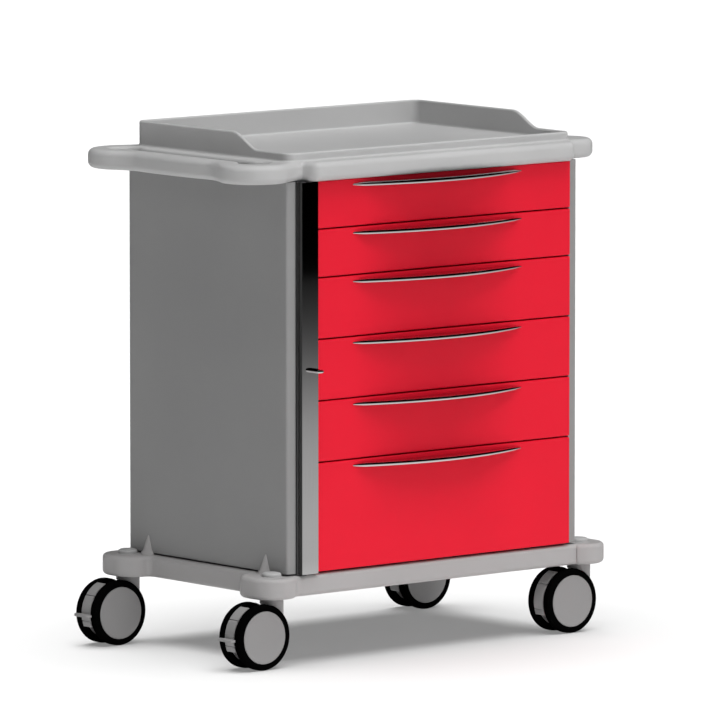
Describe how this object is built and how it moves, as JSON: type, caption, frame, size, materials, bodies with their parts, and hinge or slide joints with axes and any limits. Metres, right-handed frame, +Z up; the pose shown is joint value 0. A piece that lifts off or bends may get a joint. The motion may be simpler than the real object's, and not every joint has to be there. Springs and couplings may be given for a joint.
{
  "type": "crash cart",
  "caption": "Wheeled medical cart: a cabinet of sliding drawers behind a hinged lock bar, with a moulded worktop, side push handle, low gallery and bumper base on twin-wheel casters.",
  "frame": {"origin": "on the floor under the middle of the whole object's bounding box", "axes": "+Z up; drawers open toward -Y; the push handle and lock bar are at the -X end"},
  "size_m": [0.9365, 0.5603, 1.002],
  "materials": {
    "worktop_plastic": "light grey, satin",
    "base_plastic": "mid grey, satin",
    "cap_plastic": "light grey, satin",
    "panel_paint": "grey powder coat",
    "frame_metal": "dark grey coated sheet",
    "drawer_red": "red, satin gloss",
    "drawer_liner": "pale grey moulded",
    "satin_steel": "satin steel",
    "backing_plastic": "mid grey",
    "fork_plastic": "grey moulded",
    "hub_plastic": "grey moulded",
    "tyre_rubber": "black"
  },
  "bodies": {
    "cabinet": {"base_tray": "base_plastic", "bolt_cap_front_left": "cap_plastic", "bolt_cap_back_left": "cap_plastic", "bolt_cap_front_right": "cap_plastic", "bolt_cap_back_right": "cap_plastic", "worktop": "worktop_plastic", "worktop_tray": "worktop_plastic", "side_panel_left": "panel_paint", "side_panel_right": "panel_paint", "back_panel": "panel_paint", "runner_panel_left": "frame_metal", "runner_panel_right": "frame_metal", "lock_channel": "frame_metal", "lock_hinge_lower": "frame_metal", "lock_hinge_upper": "frame_metal"},
    "drawer_1": {"drawer_1_front": "drawer_red", "drawer_1_box": "drawer_liner", "drawer_1_handle": "satin_steel"},
    "drawer_2": {"drawer_2_front": "drawer_red", "drawer_2_box": "drawer_liner", "drawer_2_handle": "satin_steel"},
    "drawer_3": {"drawer_3_front": "drawer_red", "drawer_3_box": "drawer_liner", "drawer_3_handle": "satin_steel"},
    "drawer_4": {"drawer_4_front": "drawer_red", "drawer_4_box": "drawer_liner", "drawer_4_handle": "satin_steel"},
    "drawer_5": {"drawer_5_front": "drawer_red", "drawer_5_box": "drawer_liner", "drawer_5_handle": "satin_steel"},
    "drawer_6": {"drawer_6_front": "drawer_red", "drawer_6_box": "drawer_liner", "drawer_6_handle": "satin_steel"},
    "lock": {"lock_bar": "satin_steel", "lock_bar_backing": "backing_plastic", "lock_tab": "satin_steel"},
    "caster_front_left_swivel": {"caster_front_left_fork": "fork_plastic"},
    "caster_front_left_wheel_outer": {"caster_front_left_hub_outer": "hub_plastic", "caster_front_left_tyre_outer": "tyre_rubber"},
    "caster_front_left_wheel_inner": {"caster_front_left_hub_inner": "hub_plastic", "caster_front_left_tyre_inner": "tyre_rubber"},
    "caster_front_left_brake": {"caster_front_left_pedal": "fork_plastic"},
    "caster_back_left_swivel": {"caster_back_left_fork": "fork_plastic"},
    "caster_back_left_wheel_outer": {"caster_back_left_hub_outer": "hub_plastic", "caster_back_left_tyre_outer": "tyre_rubber"},
    "caster_back_left_wheel_inner": {"caster_back_left_hub_inner": "hub_plastic", "caster_back_left_tyre_inner": "tyre_rubber"},
    "caster_back_left_brake": {"caster_back_left_pedal": "fork_plastic"},
    "caster_front_right_swivel": {"caster_front_right_fork": "fork_plastic"},
    "caster_front_right_wheel_outer": {"caster_front_right_hub_outer": "hub_plastic", "caster_front_right_tyre_outer": "tyre_rubber"},
    "caster_front_right_wheel_inner": {"caster_front_right_hub_inner": "hub_plastic", "caster_front_right_tyre_inner": "tyre_rubber"},
    "caster_back_right_swivel": {"caster_back_right_fork": "fork_plastic"},
    "caster_back_right_wheel_outer": {"caster_back_right_hub_outer": "hub_plastic", "caster_back_right_tyre_outer": "tyre_rubber"},
    "caster_back_right_wheel_inner": {"caster_back_right_hub_inner": "hub_plastic", "caster_back_right_tyre_inner": "tyre_rubber"}
  },
  "joints": [
    {"name": "drawer_1_slide", "type": "slide", "parent": "cabinet", "child": "drawer_1", "axis": [0, -1, 0], "range_m": [0, 0.38]},
    {"name": "drawer_2_slide", "type": "slide", "parent": "cabinet", "child": "drawer_2", "axis": [0, -1, 0], "range_m": [0, 0.38]},
    {"name": "drawer_3_slide", "type": "slide", "parent": "cabinet", "child": "drawer_3", "axis": [0, -1, 0], "range_m": [0, 0.38]},
    {"name": "drawer_4_slide", "type": "slide", "parent": "cabinet", "child": "drawer_4", "axis": [0, -1, 0], "range_m": [0, 0.38]},
    {"name": "drawer_5_slide", "type": "slide", "parent": "cabinet", "child": "drawer_5", "axis": [0, -1, 0], "range_m": [0, 0.38]},
    {"name": "drawer_6_slide", "type": "slide", "parent": "cabinet", "child": "drawer_6", "axis": [0, -1, 0], "range_m": [0, 0.38]},
    {"name": "lock_hinge", "type": "hinge", "parent": "cabinet", "child": "lock", "pos_m": [-0.299, -0.23865, 0.548], "axis": [0, 0, -1], "range_deg": [0, 120]},
    {"name": "caster_front_left_turn", "type": "hinge", "parent": "cabinet", "child": "caster_front_left_swivel", "pos_m": [-0.35, -0.2075, 0.1], "axis": [0, 0, 1], "continuous": true},
    {"name": "caster_front_left_spin_outer", "type": "hinge", "parent": "caster_front_left_swivel", "child": "caster_front_left_wheel_outer", "pos_m": [-0.392, -0.2075, 0.0625], "axis": [0, 1, 0], "continuous": true},
    {"name": "caster_front_left_spin_inner", "type": "hinge", "parent": "caster_front_left_swivel", "child": "caster_front_left_wheel_inner", "pos_m": [-0.392, -0.2075, 0.0625], "axis": [0, 1, 0], "continuous": true},
    {"name": "caster_front_left_brake_press", "type": "hinge", "parent": "caster_front_left_swivel", "child": "caster_front_left_brake", "pos_m": [-0.392, -0.2075, 0.0625], "axis": [0, -1, 0], "range_deg": [0, 12]},
    {"name": "caster_back_left_turn", "type": "hinge", "parent": "cabinet", "child": "caster_back_left_swivel", "pos_m": [-0.35, 0.2255, 0.1], "axis": [0, 0, 1], "continuous": true},
    {"name": "caster_back_left_spin_outer", "type": "hinge", "parent": "caster_back_left_swivel", "child": "caster_back_left_wheel_outer", "pos_m": [-0.392, 0.2255, 0.0625], "axis": [0, 1, 0], "continuous": true},
    {"name": "caster_back_left_spin_inner", "type": "hinge", "parent": "caster_back_left_swivel", "child": "caster_back_left_wheel_inner", "pos_m": [-0.392, 0.2255, 0.0625], "axis": [0, 1, 0], "continuous": true},
    {"name": "caster_back_left_brake_press", "type": "hinge", "parent": "caster_back_left_swivel", "child": "caster_back_left_brake", "pos_m": [-0.392, 0.2255, 0.0625], "axis": [0, -1, 0], "range_deg": [0, 12]},
    {"name": "caster_front_right_turn", "type": "hinge", "parent": "cabinet", "child": "caster_front_right_swivel", "pos_m": [0.42, -0.2075, 0.1], "axis": [0, 0, 1], "continuous": true},
    {"name": "caster_front_right_spin_outer", "type": "hinge", "parent": "caster_front_right_swivel", "child": "caster_front_right_wheel_outer", "pos_m": [0.378, -0.2075, 0.0625], "axis": [0, 1, 0], "continuous": true},
    {"name": "caster_front_right_spin_inner", "type": "hinge", "parent": "caster_front_right_swivel", "child": "caster_front_right_wheel_inner", "pos_m": [0.378, -0.2075, 0.0625], "axis": [0, 1, 0], "continuous": true},
    {"name": "caster_back_right_turn", "type": "hinge", "parent": "cabinet", "child": "caster_back_right_swivel", "pos_m": [0.42, 0.2255, 0.1], "axis": [0, 0, 1], "continuous": true},
    {"name": "caster_back_right_spin_outer", "type": "hinge", "parent": "caster_back_right_swivel", "child": "caster_back_right_wheel_outer", "pos_m": [0.378, 0.2255, 0.0625], "axis": [0, 1, 0], "continuous": true},
    {"name": "caster_back_right_spin_inner", "type": "hinge", "parent": "caster_back_right_swivel", "child": "caster_back_right_wheel_inner", "pos_m": [0.378, 0.2255, 0.0625], "axis": [0, 1, 0], "continuous": true}
  ]
}
